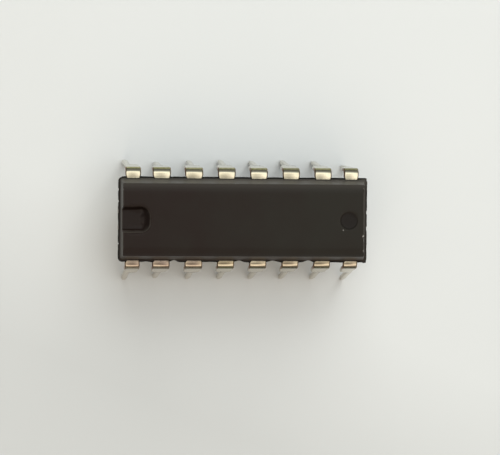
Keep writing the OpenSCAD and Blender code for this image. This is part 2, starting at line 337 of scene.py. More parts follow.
def bitten(x):
    # What the bites leave of the front flash
    for slot, (place, depth, wide) in enumerate(flash["bites"]):
        low, high = shoulderX(slot) + neckHalf(slot), shoulderX(slot + 1) - neckHalf(slot + 1)
        if low <= x <= high:
            share = (x - low) / (high - low)
            return 0.92 + 0.14 * share - depth * math.exp(-((share - place) / wide) ** 2)
    return 0.9


def nearness(chip, x, y, up):
    # 1 at the middle of a chip and 0 at its rim
    cx, cy, cz, radius, depth = chip
    return 1 - ((x - cx) ** 2 + (y - cy) ** 2 + (up - cz) ** 2) / radius ** 2


def chipped(x, y, up):
    # Pushes a point in where a chip is missing
    for chip in chips:
        near = nearness(chip, x, y, up)
        cx, depth = chip[0], chip[4]
        if near > 0:
            x -= math.copysign(depth * near * (1 if abs(cx) > 9 else 0), cx)
            y -= math.copysign(depth * near * (0 if abs(cx) > 9 else 1), chip[1])
            up -= depth * near
    return x, y, up


def chipShare(x, y, up):
    return max([0] + [min(1, 1.6 * nearness(chip, x, y, up)) for chip in chips])


def caseRings():
    # Each ring is (height above the middle, half length, half width, corner radii, share of the flash)
    tall = case["halfHeight"]
    corners = (case["notchCorner"], case["farCorner"])
    rings = []

    def wall(up, flashShare=0.0):
        rings.append((up, faceHalf(up, case["halfLength"], case["endDraft"]),
                      faceHalf(up, case["halfWidth"], case["sideDraft"]),
                      [mix(low, high, abs(up) / tall) for low, high in corners], flashShare))

    for up, flashShare in flash["profile"]:
        wall(up, flashShare)
    for up in case["wallLevels"]:
        wall(up)
    for angle in case["edgeAngles"]:
        wall(tall - case["edgeRadius"] * (1 - math.cos(math.radians(angle))))
    up, halfX, halfY = rings[-1][:3]
    for inset in case["topInsets"]:
        rings.append((up, halfX - inset, halfY - inset, [high - 0.2 * inset for low, high in corners], 0.0))
    return rings


def fillPoints(halfX, halfY, loops):
    # Staggered points over a face, kept clear of the loops that mark its hollows
    gap = case["fillSpacing"]
    crowded = {(round(p[0] / gap), round(p[1] / gap)) for loop in loops for p in loop}
    draws = random.Random(7)
    found = []
    rows = int(2 * halfY / (gap * 0.87))
    for j in range(1, rows):
        y = -halfY + j * 2 * halfY / rows
        x = -halfX + gap * (0.8 + 0.5 * (j % 2))
        while x < halfX - 0.6 * gap:
            px, py = x + draws.uniform(-0.1, 0.1) * gap, y + draws.uniform(-0.1, 0.1) * gap
            if (round(px / gap), round(py / gap)) not in crowded:
                found.append((px, py))
            x += gap
    return found


def notchLoops(startX):
    # Level lines of the notch's wall, from one side of the open end to the other
    cx, cy = notch["end"] - notch["radius"], notch["halfWidth"] - notch["radius"]
    loops = []
    for t in notchLevels:
        side = notch["halfWidth"] - notch["sideRun"] * t
        loop = [(x, side) for x in steps(startX, cx, 8)]
        for i in range(1, 12):
            angle = math.radians(90 - 90 * i / 12)
            reach = notch["radius"] - t * mix(notch["sideRun"], notch["endRun"], math.cos(angle) ** 2)
            loop.append((cx + reach * math.cos(angle), cy + reach * math.sin(angle)))
        loop += [(notch["end"] - notch["endRun"] * t, y) for y in steps(cy, 0, 3)]
        loops.append(loop + [(x, -y) for x, y in reversed(loop[:-1])])
    return loops


def ejectorLoops(place):
    loops = []
    for t in (-0.3, 0.0, 0.3, 0.7, 1.0, 1.3):
        r = ejector["radius"] - ejector["run"] * t
        loop = [(place + r * math.cos(a), r * math.sin(a)) for a in steps(0, 2 * math.pi, 56)[:-1]]
        loops.append(loop + loop[:1])
    return loops


def rimSheenAndLitWall(x, y):
    # painted sheen: 1 along the rim of the notch, with painted light on the notch's wall that faces the
    # window, and a faint ring round the ejector mark
    inNotch = notchShare(x, y)
    lit = 3.6 * inNotch * (1 - inNotch) * max(0, -y)
    return lit + max(1 - abs(inNotch - 0.12) / 0.12 if inNotch < 0.24 else 0,
                     0.2 * (1 - abs(ejectorShare(x, y, ejector["places"][1:]) - 0.3) / 0.3), 0)


def hollowShare(x, y):
    # painted shade, strongest on the notch's end slope and its wall away from the window; on the ejector
    # mark, its own darker tone
    inNotch = notchShare(x, y)
    shaded = max(0.05, y / notch["halfWidth"], (x - notch["end"] + 1) * (1 - abs(y)))
    return max(0.25 * inNotch + 2.6 * shaded * inNotch * (1 - inNotch),
               ejectorShare(x, y, ejector["places"][1:]))


def addCasePoint(points, masks, x, y, up, onFlash=0.0, edge=0.0, hollow=0.0, side=0.0):
    # Adds a point and its masks, in the order of caseMasks, and returns its number
    chip = chipShare(x, y, up) if up > 0 else 0
    x, y, up = chipped(x, y, up) if up > 0 else (x, y, up)
    points.append((x, y, case["middle"] + up))
    masks.append((onFlash, edge, hollow, chip, side))
    return len(points) - 1


def caseRing(points, masks, sign, plan):
    # One ring of points round the upper (sign 1) or the lower half
    up, halfX, halfY, radii, share = plan
    tall, ring = case["halfHeight"], []
    for x, y, nx, ny in ringOutline(halfX, halfY, radii):
        out = share * flashWidth(x, y, nx, ny)
        height = up
        if sign > 0 and up > 1.0:
            height = min(up, tall - topDrop(x, y))
        elif up >= tall:
            height = tall - bottomDrop(x, y)
        inwards = min(case["halfLength"] - 0.23 - abs(x), case["halfWidth"] - 0.38 - abs(y))
        # painted sheen along the top edges, which the wear breaks into patches
        edge = smoothStep(0.3, 0.0, math.hypot(tall - height, max(0, inwards))) if height == up else 0
        hollow = hollowShare(x, y) if sign > 0 and up > 1.0 and height < up - 0.002 else 0
        edge = max(edge, rimSheenAndLitWall(x, y)) if hollow else edge
        ring.append(addCasePoint(points, masks, x + nx * out, y + ny * out, sign * height,
                                 1.0 if share > 0.5 else 0.5 * share, edge, hollow,
                                 smoothStep(1.6, 1.2, up) if share < 0.5 else 0))
    return ring


def caseFace(points, masks, sign, rimNumbers):
    # The flat inside the last ring, with the notch and the ejector marks as loops of their own
    up, halfX, halfY, radii, share = caseRings()[-1]
    loops = notchLoops(-halfX) if sign > 0 else []
    for place in ejector["places"][1 if sign > 0 else 0:]:
        loops += ejectorLoops(place)
    flat = [Vector((x, y)) for x, y, nx, ny in ringOutline(halfX, halfY, radii)]
    edges = [(i, (i + 1) % len(flat)) for i in range(len(flat))]
    for loop in loops:
        start = len(flat)
        flat += [Vector(p) for p in loop]
        edges += [(start + i, start + i + 1) for i in range(len(loop) - 1)]
    flat += [Vector(p) for p in fillPoints(halfX, halfY, loops)]
    rim = list(range(len(rimNumbers)))
    made, _, triangles, origins, _, _ = delaunay_2d_cdt(flat, edges, [rim], 1, 1e-5)
    numbers = []
    for (x, y), origin in zip(made, origins):
        onRim = [i for i in origin if i < len(rim)]
        if onRim:
            numbers.append(rimNumbers[onRim[0]])
        elif sign > 0:
            numbers.append(addCasePoint(points, masks, x, y, case["halfHeight"] - topDrop(x, y), 0,
                                        rimSheenAndLitWall(x, y), hollowShare(x, y)))
        else:
            numbers.append(addCasePoint(points, masks, x, y, bottomDrop(x, y) - case["halfHeight"], 0, 0,
                                        ejectorShare(x, y, ejector["places"])))
    return [[numbers[i] for i in (t if sign > 0 else reversed(t))] for t in triangles]


def buildCase():
    points, masks, faces, halves = [], [], [], []
    for sign in (1, -1):
        halves.append([caseRing(points, masks, sign, plan) for plan in caseRings()])
        faces += caseFace(points, masks, sign, halves[-1][-1])
    chain = list(reversed(halves[0])) + halves[1]
    for upper, lower in zip(chain, chain[1:]):
        for i in range(len(upper)):
            j = (i + 1) % len(upper)
            faces.append([upper[i], lower[i], lower[j], upper[j]])
    values = dict(zip(caseMasks, zip(*masks)))
    piece = meshPiece("case_moulding", points, faces, values, case["sharpAngle"])
    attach(piece, "root")
    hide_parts("body")
    return piece


casePiece = buildCase()
print("case: moulded body with", len(casePiece.data.polygons), "faces")


# the leads: one stamped and bent strip each, from the bond end of the inner finger to the tip
insideFrame = {
    "fingerWidth": 0.42, "gap": 0.2, "anchorLength": 0.62, "anchorTaper": 0.85, "lockHole": 0.42,
    "holePoints": 24, "elbowIn": 0.35, "elbowStep": 0.27, "middleTip": 0.5, "stem": 0.5, "forkIn": 1.2,
    "forkGap": 0.75, "padLength": 3.6, "padWidth": 2.7,
}


def fingerPath(slot):
    # Centre line and widths of the part inside the case, for a lead on the +Y side
    f = insideFrame
    far, side, x = abs(slotOffset(slot)), 1 if slotOffset(slot) > 0 else -1, abs(shoulderX(slot))
    anchorY = case["halfWidth"] - f["anchorLength"]
    neck = 2 * neckHalf(slot)
    path, widths = [(side * x, case["halfWidth"]), (side * x, anchorY)], [neck, neck * f["anchorTaper"]]
    if far < 1:
        return path + [(side * f["middleTip"], f["padWidth"] / 2 + f["gap"])], widths + [f["fingerWidth"]]
    lane = f["stem"] / 2 + f["gap"] + f["fingerWidth"] / 2 + (3.5 - far) * (f["fingerWidth"] + f["gap"])
    elbow = x - f["elbowIn"] - f["elbowStep"] * far
    if isEnd(slot):
        elbow = case["halfLength"] - f["forkIn"] - f["forkGap"]
    nextNeck = (lead["pitch"] + lead["neck"] * f["anchorTaper"]) / 2 + f["gap"]
    tip = nextNeck if far < 2 else f["padLength"] / 2 + f["gap"]
    return (path + [(side * elbow, lane), (side * tip, lane)],
            widths + [f["fingerWidth"] * 1.15, f["fingerWidth"]])


def insideRings(slot):
    # Left and right edge of the finger at each bend of its path, from the tip out to the case wall
    path, widths = fingerPath(slot)
    path = [Vector(p) for p in path]
    rings = []
    for i, place in enumerate(path):
        before = (path[i] - path[i - 1]).normalized() if i else Vector((0, 0))
        after = (path[i + 1] - path[i]).normalized() if i < len(path) - 1 else Vector((0, 0))
        along = (before + after).normalized()
        mitre = along.dot(after) if i and i < len(path) - 1 else 1
        across = Vector((-along.y, along.x)) * widths[i] / 2 / mitre
        left, right = place - across, place + across
        rings.append((Vector((left.x, left.y, case["middle"])), Vector((right.x, right.y, case["middle"])),
                      Vector((0, 0, lead["thick"] / 2))))
    return list(reversed(rings))


def sideHalf(slot, z, y, widen):
    # Half width of the lead outside the case at a height, and how far the middle moves to the leg
    full = lead["shoulder"] / 2 + widen / 2 - (lead["endNarrower"] / 2 if isEnd(slot) else 0)
    legHalf = lead["leg"] / 2
    if y < lead["stubY"]:
        return mix(neckHalf(slot), full, smoothStep(case["halfWidth"], lead["stubY"], y)), 0
    if z > lead["stubZ"]:
        return full, 0
    if z > lead["stepTop"]:
        return full - lead["stubSide"], 0
    if z > lead["legTop"]:
        share = (lead["stepTop"] - z) / (lead["stepTop"] - lead["legTop"])
        share = mix(share, smoothStep(0, 1, share), 0.45)
        return mix(full - lead["stubSide"], legHalf, share), share
    if z > lead["tipZ"]:
        return legHalf, 1
    return mix(legHalf * lead["tipShare"], legHalf, z / lead["tipZ"]), 1


def outsideLine(splay):
    # Place, and the way the outer face looks, for each ring from the case wall to the tip
    middle = lead["bendRadius"] + lead["thick"] / 2
    line = [(y, case["middle"], 0.0, 1.0) for y in lead["outPlaces"]]
    for i in range(1, lead["bendSteps"] + 1):
        angle = math.pi / 2 + (splay - math.pi / 2) * i / lead["bendSteps"]
        c, s = math.cos(angle), math.sin(angle)
        line.append((lead["bendY"] + middle * c, lead["bendZ"] + middle * s, c, s))
    startY, startZ = line[-1][:2]
    return startZ, line + [(startY + (startZ - z) * math.tan(splay), z, math.cos(splay), math.sin(splay))
                           for z in lead["legLevels"]]


def raggedness(slot, front, side, y, z):
    # Rougher where the dam bar was cut off
    if z > lead["stubZ"] and y > lead["stubY"] - 0.05:
        return 0.014 * noise.noise(Vector((side * 5 + slot, y * 9, z * 9 + (3 if front else 0))))
    return 0.004 * noise.noise(Vector((side * 5 + slot, y * 3, z * 3)))


def outsideRings(slot, front):
    # From the case wall over the shoulder and the bend and down to the tip, for the +Y side
    splay, half = math.radians(lead["splay"]), lead["thick"] / 2
    which = "front" if front else "back"
    widen, shift, reach = (lead[which + kind][slot] for kind in ("Widths", "Shifts", "Reaches"))
    aside, outwards = lead[which + "Leans"][slot]
    startZ, line = outsideLine(splay)
    rings = []
    for plainY, z, ny, nz in line:
        y = plainY + reach * smoothStep(case["halfWidth"], lead["bendY"], plainY)
        halfWide, toLeg = sideHalf(slot, z, plainY, widen)
        middleX = mix(shoulderX(slot), slotOffset(slot) * lead["pitch"], toLeg)
        middleX += shift * smoothStep(case["halfWidth"], lead["stubY"], y)
        down = max(0, (startZ - z) / startZ)
        middleX, y = middleX + aside * down, y + outwards * down
        left, right = (Vector((middleX + side * halfWide + raggedness(slot, front, side, y, z), y, z))
                       for side in (-1, 1))
        normal = Vector((0, ny, nz)) * half
        if z < lead["thinFrom"]:  # the tip is cut level with the floor, and a little thinner
            thinHalf = half / math.cos(splay) * mix(0.8, 1, z / lead["thinFrom"])
            normal = Vector((0, thinHalf, half * math.sin(splay) * min(1, z / 0.3)))
        rings.append((left, right, normal))
    return rings


def sectionPoints(left, right, normal, round0, round1):
    # A rectangle with rounded corners: the outer edges rolled over, the inner ones with a tight burr
    centre, wide, tall = (left + right) / 2, (right - left) / 2, normal
    w, h = wide.length, tall.length
    found = []
    corners = ((1, 1, round0), (-1, 1, round0), (-1, -1, round1), (1, -1, round1))
    for quarter, (sx, sy, radius) in enumerate(corners):
        r = min(radius, 0.45 * w, 0.9 * h)
        for i in range(4):
            angle = math.radians(90 * quarter + 30 * i)
            a = sx * (w - r) + r * math.cos(angle)
            b = sy * (h - r) + r * math.sin(angle)
            side = abs(math.cos(angle)) if i in (1, 2) else (1.0 if (i == 0) == (sx * sy > 0) else 0.0)
            found.append((centre + wide / w * a + tall / h * b, side, a, b / h))
    return found


def lockHole(points, masks, slot, flip, start):
    # The hole that locks the strip into the moulding, with its four faces above and below; start is the
    # number of the first point of the ring before it
    holeX, holeY = shoulderX(slot), case["halfWidth"] - insideFrame["anchorLength"] / 2
    radius, around = insideFrame["lockHole"] / 2, insideFrame["holePoints"]
    faces, circles = [], []
    for up in (1, -1):
        circles.append([])
        for k in range(around):
            angle = 2 * math.pi * (k + 0.5) / around
            circles[-1].append(len(points))
            points.append((holeX + radius * math.cos(angle), flip * (holeY + radius * math.sin(angle)),
                           case["middle"] + up * lead["thick"] / 2))
            masks.append((0, 0, 1, 0, 1, 0, (0, 0, 0)))  # flat and within the case
    for (i, j), circle in zip((lead["upperCorners"], lead["lowerCorners"]), circles):
        after = start + lead["sectionPoints"]
        corners = [start + i, start + j, after + j, after + i]
        turn = {c: math.atan2(flip * points[c][1] - holeY, points[c][0] - holeX) % (2 * math.pi)
                for c in corners}
        corners.sort(key=turn.get)
        nearest = [int(turn[c] / (2 * math.pi) * around) % around for c in corners]
        for k in range(4):
            a, b = nearest[k], nearest[(k + 1) % 4]
            arc = [circle[m % around] for m in range(a, (b if b > a else b + around) + 1)]
            faces.append([corners[(k + 1) % 4], corners[k]] + arc)
    for k in range(around):
        m = (k + 1) % around
        faces.append([circles[0][k], circles[0][m], circles[1][m], circles[1][k]])
    return faces


def leadPoints(rings, insideCount, flip):
    # The points round each ring, with their masks in the order of leadMasks
    points, masks, travelled = [], [], 0
    for n, (left, right, normal) in enumerate(rings):
        middle = (left + right) / 2
        if n:
            travelled += (middle - (rings[n - 1][0] + rings[n - 1][1]) / 2).length
        isOut = n >= insideCount
        shrink = 0.9 if n in (0, len(rings) - 1) else 1
        tilt = math.degrees(math.atan2(normal.y, normal.z)) if isOut else 0
        inBend = smoothStep(34, 44, tilt) * smoothStep(84, 78, tilt)
        inStub = smoothStep(lead["stubY"] - 0.05, lead["stubY"], middle.y) * smoothStep(4.44, 4.5, middle.z)
        nearTip = smoothStep(0.22, 0.03, middle.z)
        atWall = smoothStep(0.26, 0.04, middle.y - case["halfWidth"]) if isOut else 1.0
        for spot, side, a, b in sectionPoints(left, right, normal * shrink, lead["roll"], lead["burr"]):
            points.append((spot.x, flip * spot.y, max(0, spot.z)))
            masks.append((side, inBend * (1 if b > 0 else 0.15), smoothStep(14, 4, tilt),
                          max(side * inStub * isOut, nearTip), atWall, smoothStep(5.0, 4.7, middle.z),
                          (a, travelled, b)))
    return points, masks


def buildLead(number):
    front = number <= 8
    slot = number - 1 if front else 16 - number
    flip = -1 if front else 1
    inner = insideRings(slot)
    rings = inner + outsideRings(slot, front)
    points, masks = leadPoints(rings, len(inner), flip)
    count, last, holed = lead["sectionPoints"], len(rings) - 1, len(inner) - 2
    faces = []
    for n in range(last):
        for i in range(count):
            j = (i + 1) % count
            if n == holed and i in (lead["upperCorners"][0], lead["lowerCorners"][0]):
                continue
            faces.append([n * count + i, n * count + j, (n + 1) * count + j, (n + 1) * count + i])
    faces.append(list(reversed(range(count))))
    faces.append([last * count + i for i in range(count)])
    faces += lockHole(points, masks, slot, flip, holed * count)
    values = dict(zip(leadMasks, zip(*masks)))
    for kind in ("Darkening", "Blush", "BendShade"):
        values["lead" + kind] = [lead[("front" if front else "back") + kind][slot]] * len(points)
    piece = meshPiece("plated_lead_%d" % number, points, faces, values, lead["sharpAngle"])
    straighten(piece)
    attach(piece, "root")
    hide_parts("lead_%d" % number)
    return piece


def straighten(piece):
    # Turns every face outward
    work = bmesh.new()
    work.from_mesh(piece.data)
    bmesh.ops.recalc_face_normals(work, faces=work.faces)
    work.to_mesh(piece.data)
    work.free()
    piece.data.set_sharp_from_angle(angle=math.radians(lead["sharpAngle"]))


leadPieces = [buildLead(number) for number in range(1, 17)]
print("leads:", len(leadPieces), "stamped and bent strips")


# shader nodes
def setInput(tree, socket, value):
    if isinstance(value, bpy.types.NodeSocket):
        tree.links.new(value, socket)
    elif socket.type == "RGBA":
        socket.default_value = (*value, 1)
    else:
        socket.default_value = value


def addNode(tree, kind, inputs=None, **settings):
    # inputs holds a socket to link or a plain value for each named or numbered input
    made = tree.nodes.new(kind)
    for name, value in settings.items():
        setattr(made, name, value)
    for name, value in (inputs or {}).items():
        setInput(tree, made.inputs[name], value)
    return made


def mathNode(tree, operation, a, b=0.0, clamp=False):
    return addNode(tree, "ShaderNodeMath", {0: a, 1: b}, operation=operation, use_clamp=clamp).outputs[0]


def times(tree, a, b, clamp=False):
    return mathNode(tree, "MULTIPLY", a, b, clamp)


def plus(tree, a, b, clamp=False):
    return mathNode(tree, "ADD", a, b, clamp)


def minus(tree, a, b):
    return mathNode(tree, "SUBTRACT", a, b)


def axes(tree, vector):
    return addNode(tree, "ShaderNodeSeparateXYZ", {"Vector": vector}).outputs


def rangeNode(tree, value, low, high, toLow=0.0, toHigh=1.0):
    return addNode(tree, "ShaderNodeMapRange", {"Value": value, "From Min": low, "From Max": high,
                                                "To Min": toLow, "To Max": toHigh}).outputs["Result"]


def noiseNode(tree, place, scale, detail=2.0, rough=0.5):
    return addNode(tree, "ShaderNodeTexNoise", {"Vector": place, "Scale": scale, "Detail": detail,
                                                "Roughness": rough}).outputs["Fac"]


def mixColour(tree, share, a, b, blend="MIX"):
    made = addNode(tree, "ShaderNodeMix", data_type="RGBA", blend_type=blend, clamp_factor=True)
    for index, value in ((0, share), (6, a), (7, b)):
        setInput(tree, made.inputs[index], value)
    return made.outputs[2]


def tint(tree, colour, mask, amount, other):
    # Lays the other colour over this one where the mask says, by no more than the amount
    return mixColour(tree, times(tree, mask, amount), colour, other)


def meshValue(tree, name, output="Fac"):
    return addNode(tree, "ShaderNodeAttribute", attribute_name=name).outputs[output]


def placeInMm(tree):
    where = addNode(tree, "ShaderNodeTexCoord").outputs["Object"]
    return addNode(tree, "ShaderNodeVectorMath", {0: where, 3: 1000.0}, operation="SCALE").outputs[0]


def stretched(tree, place, amount):
    return addNode(tree, "ShaderNodeVectorMath", {0: place, 1: amount}, operation="MULTIPLY").outputs[0]


def newGroup(name, values, outputs):
    # A group with a Place to look at, named values with what each is to start with, and named masks out
    tree = bpy.data.node_groups.new(name, "ShaderNodeTree")
    tree.interface.new_socket("Place", in_out="INPUT", socket_type="NodeSocketVector")
    for label, value in values.items():
        tree.interface.new_socket(label, in_out="INPUT", socket_type="NodeSocketFloat").default_value = value
    for label in outputs:
        tree.interface.new_socket(label, in_out="OUTPUT", socket_type="NodeSocketFloat")
    given = addNode(tree, "NodeGroupInput").outputs
    return tree, given, given["Place"]


def finishGroup(tree, results):
    addNode(tree, "NodeGroupOutput", results)
    layOut(tree)
    return tree


def placeGroup(tree, group, inputs):
    return addNode(tree, "ShaderNodeGroup", inputs, node_tree=group).outputs


def layOut(tree):
    # Places each node left of the nodes that it feeds
    depth = {}

    def visit(made, level):
        if depth.get(made.name, -1) < level:
            depth[made.name] = level
            for socket in made.inputs:
                for link in socket.links:
                    visit(link.from_node, level + 1)

    for made in tree.nodes:
        if not any(socket.links for socket in made.outputs):
            visit(made, 0)
    rows = {}
    for made in tree.nodes:
        level = depth.get(made.name, 0)
        made.location = (-230 * level, -190 * rows.get(level, 0))
        rows[level] = rows.get(level, 0) + 1


def mottleGroup():
    # Broad, cloudy change, for stains and for colour that isn't even
    tree, given, place = newGroup("broadMottle", {"Scale": 0.4, "Contrast": 1.0}, ["Mask"])
    cloud = noiseNode(tree, place, given["Scale"], 3.0, 0.55)
    spread = times(tree, minus(tree, cloud, 0.5), given["Contrast"])
    return finishGroup(tree, {"Mask": plus(tree, spread, 0.5, clamp=True)})


def wearGroup():
    # Breaks up an edge mask, so that wear comes in patches
    tree, given, place = newGroup("edgeWear", {"Edge": 0.0, "Scale": 3.0, "Amount": 0.5}, ["Mask"])
    patches = noiseNode(tree, place, given["Scale"], 4.0, 0.6)
    worn = plus(tree, times(tree, given["Edge"], 0.75), patches)
    start = minus(tree, 1.35, given["Amount"])
    share = mathNode(tree, "DIVIDE", minus(tree, worn, start), 0.35, clamp=True)
    return finishGroup(tree, {"Mask": times(tree, share, given["Edge"], clamp=True)})


def dustGroup():
    # Small scattered specks; a higher Rarity leaves fewer of them
    tree, given, place = newGroup("dustSpecks", {"Scale": 2.0, "Size": 0.06, "Rarity": 0.8}, ["Mask"])
    cells = addNode(tree, "ShaderNodeTexVoronoi", {"Vector": place, "Scale": given["Scale"]}).outputs
    near = mathNode(tree, "LESS_THAN", cells["Distance"], given["Size"])
    pick = addNode(tree, "ShaderNodeSeparateColor", {"Color": cells["Color"]}).outputs["Red"]
    chosen = mathNode(tree, "GREATER_THAN", pick, given["Rarity"])
    return finishGroup(tree, {"Mask": times(tree, near, chosen)})


def grainGroup():
    # Fine even grain: a height for bump, and the lighter filler grains that show in it
    tree, given, place = newGroup("fineGrain", {"Scale": 20.0, "Grains": 0.66}, ["Height", "Grain"])
    fine = noiseNode(tree, place, given["Scale"], 3.0, 0.65)
    broad = noiseNode(tree, place, times(tree, given["Scale"], 0.23), 2.0, 0.5)
    return finishGroup(tree, {"Height": plus(tree, fine, times(tree, broad, 0.8)),
                              "Grain": times(tree, minus(tree, fine, given["Grains"]), 9.0, clamp=True)})


def streakGroup():
    # Fine lines along one way, as rolling and forming leave them on metal
    tree, given, place = newGroup("formingLines", {"Across": 30.0, "Along": 1.2}, ["Height", "Mask"])
    way = addNode(tree, "ShaderNodeCombineXYZ", {"X": given["Across"], "Y": given["Along"], "Z": 4.0})
    lines = noiseNode(tree, stretched(tree, place, way.outputs[0]), 1.0, 3.0, 0.6)
    return finishGroup(tree, {"Height": lines, "Mask": rangeNode(tree, lines, 0.35, 0.7)})


mottle, wear, dust, grain, streaks = mottleGroup(), wearGroup(), dustGroup(), grainGroup(), streakGroup()


def cloudsNode(tree, place, scale, contrast):
    return placeGroup(tree, mottle, {"Place": place, "Scale": scale, "Contrast": contrast})["Mask"]


def newMaterial(name):
    material = bpy.data.materials.new(name)
    material.use_nodes = True
    tree = material.node_tree
    tree.nodes.clear()
    shader = addNode(tree, "ShaderNodeBsdfPrincipled")
    addNode(tree, "ShaderNodeOutputMaterial", {"Surface": shader.outputs[0]})
    return material, shader, tree, placeInMm(tree)


def finishMaterial(material, shader, colour, rough, height, bump, metallic=0.0, shine=0.5):
    # bump holds its strength and its distance in mm
    tree = material.node_tree
    raised = {"Height": height, "Strength": bump[0], "Distance": bump[1] * mm}
    inputs = {"Base Color": colour, "Roughness": rough, "Metallic": metallic, "Specular IOR Level": shine,
              "Normal": addNode(tree, "ShaderNodeBump", raised).outputs[0]}
    for name, value in inputs.items():
        setInput(tree, shader.inputs[name], value)
    layOut(tree)
    return material


epoxy = {
    "warm": (0.0104, 0.0058, 0.0042), "olive": (0.0122, 0.0112, 0.0078),   # near the notch, at the far end
    # deep is painted shade for the notch, and the ejector mark's own darker tone
    # flash is painted shade along the parting-line flash
    "deep": (0.0034, 0.0020, 0.0018), "flash": (0.0026, 0.0018, 0.0012),
    # the drafted walls have a coarser finish and painted sheen that makes them paler, least on the shaded
    # side along pins 1 to 8 and most on the window side along pins 9 to 16: at both ends, along pins 1 to 8,
    # along pins 9 to 16
    "endWallSheen": (0.059, 0.052, 0.044), "frontWallSheenShaded": (0.037, 0.028, 0.021), "backWallSheenLit": (0.070, 0.065, 0.054),
    "backRimSheen": (0.034, 0.031, 0.026), "rimFrom": 2.15, "rimTo": 2.86,
    # worn is the colour of painted sheen and patchy wear on the edges and rims
    "worn": (0.062, 0.056, 0.047), "chip": (0.30, 0.28, 0.24), "fleck": (0.62, 0.60, 0.55),
    "grainColour": (0.045, 0.037, 0.029), "roughness": 0.33, "shine": 0.25, "bump": (0.4, 0.010),
    "flecks": ((7.737, -0.739, 7.05, 0.034), (9.38, -1.20, 6.95, 0.1)),
}


def epoxyMaterial():
    material, shader, tree, place = newMaterial("mouldedEpoxy")
    x, y, z = axes(tree, place)
    clouds = cloudsNode(tree, place, 0.32, 1.5)
    toFarEnd = plus(tree, rangeNode(tree, x, -7.0, 7.0), minus(tree, clouds, 0.5))
    colour = mixColour(tree, toFarEnd, epoxy["warm"], epoxy["olive"])
    # painted sheen: the top face is greyer towards its edge on the side of pins 9 to 16, which faces the
    # window light
    rim = mathNode(tree, "POWER", rangeNode(tree, y, epoxy["rimFrom"], epoxy["rimTo"]), 1.4)
    colour = mixColour(tree, rim, colour, epoxy["backRimSheen"])
    # painted sheen on the drafted walls, which are paler at a grazing view and lighter on the side towards
    # the window
    wallSheenAndFinish = times(tree, meshValue(tree, "sideMask"), plus(tree, clouds, 0.3), clamp=True)
    sideColour = mixColour(tree, rangeNode(tree, y, 2.8, 2.9), epoxy["endWallSheen"], epoxy["backWallSheenLit"])
    sideColour = mixColour(tree, rangeNode(tree, y, -2.8, -2.9), sideColour, epoxy["frontWallSheenShaded"])
    colour = mixColour(tree, wallSheenAndFinish, colour, sideColour)
    fine = placeGroup(tree, grain, {"Place": place, "Scale": 22.0, "Grains": 0.62})
    colour = tint(tree, colour, fine["Grain"], 0.35, epoxy["grainColour"])
    # painted shade in the notch, and the ejector mark's darker tone
    colour = tint(tree, colour, meshValue(tree, "hollowMask"), 0.7, epoxy["deep"])
    onFlash = rangeNode(tree, meshValue(tree, "flashMask"), 0.0, 0.6)
    flashShade = rangeNode(tree, x, 9.3, 9.5, 0.95, 0.3)  # painted shade on the flash, lifted at the far end, where light falls on it, to be as pale as the wall
    colour = tint(tree, colour, onFlash, flashShade, epoxy["flash"])
    # painted sheen and patchy wear on the edges and rims, and painted light on the notch wall that faces the
    # window
    worn = placeGroup(tree, wear, {"Place": place, "Edge": meshValue(tree, "edgeSheenAndWearMask"), "Scale": 2.6,
                                   "Amount": 0.62})["Mask"]
    colour = tint(tree, colour, worn, 0.55, epoxy["worn"])
    patchy = times(tree, meshValue(tree, "chipMask"), noiseNode(tree, place, 9.0))
    colour = tint(tree, colour, rangeNode(tree, patchy, 0.3, 0.5), 0.35, epoxy["chip"])
    specks = placeGroup(tree, dust, {"Place": place, "Scale": 1.4, "Size": 0.035, "Rarity": 0.86})["Mask"]
    for *middle, size in epoxy["flecks"]:
        away = addNode(tree, "ShaderNodeVectorMath", {0: place, 1: middle}, operation="DISTANCE")
        near = mathNode(tree, "LESS_THAN", away.outputs["Value"], size)
        specks = plus(tree, specks, near, clamp=True)
    colour = tint(tree, colour, specks, 0.5, epoxy["fleck"])
    rough = plus(tree, epoxy["roughness"], times(tree, minus(tree, clouds, 0.5), 0.12))
    rough = plus(tree, rough, times(tree, mathNode(tree, "MAXIMUM", wallSheenAndFinish, onFlash), 0.2))
    rough = plus(tree, rough, times(tree, worn, 0.1))
    return finishMaterial(material, shader, colour, rough, fine["Height"], epoxy["bump"],
                          shine=epoxy["shine"])


plating = {
    "bright": (0.98, 0.945, 0.74), "warm": (0.47, 0.40, 0.26), "blush": (0.45, 0.36, 0.31),
    # the leg tones are painted reflection of the paper, pale and grey
    "leg": (0.86, 0.82, 0.74), "darkerLegReflection": (0.80, 0.71, 0.58),
    # stretched is a painted dark reflection on the outside of the bend
    "stained": (0.30, 0.235, 0.15), "stretched": (0.25, 0.235, 0.085),
    # paintedShade is painted shade on the leads' sides and painted dark reflection on the outside of the bend
    "paintedShade": (0.034, 0.027, 0.017), "copper": (0.30, 0.17, 0.10), "wallBleedAndShade": (0.05, 0.042, 0.03),
    "roughness": 0.06, "bump": (0.1, 0.0025),
}


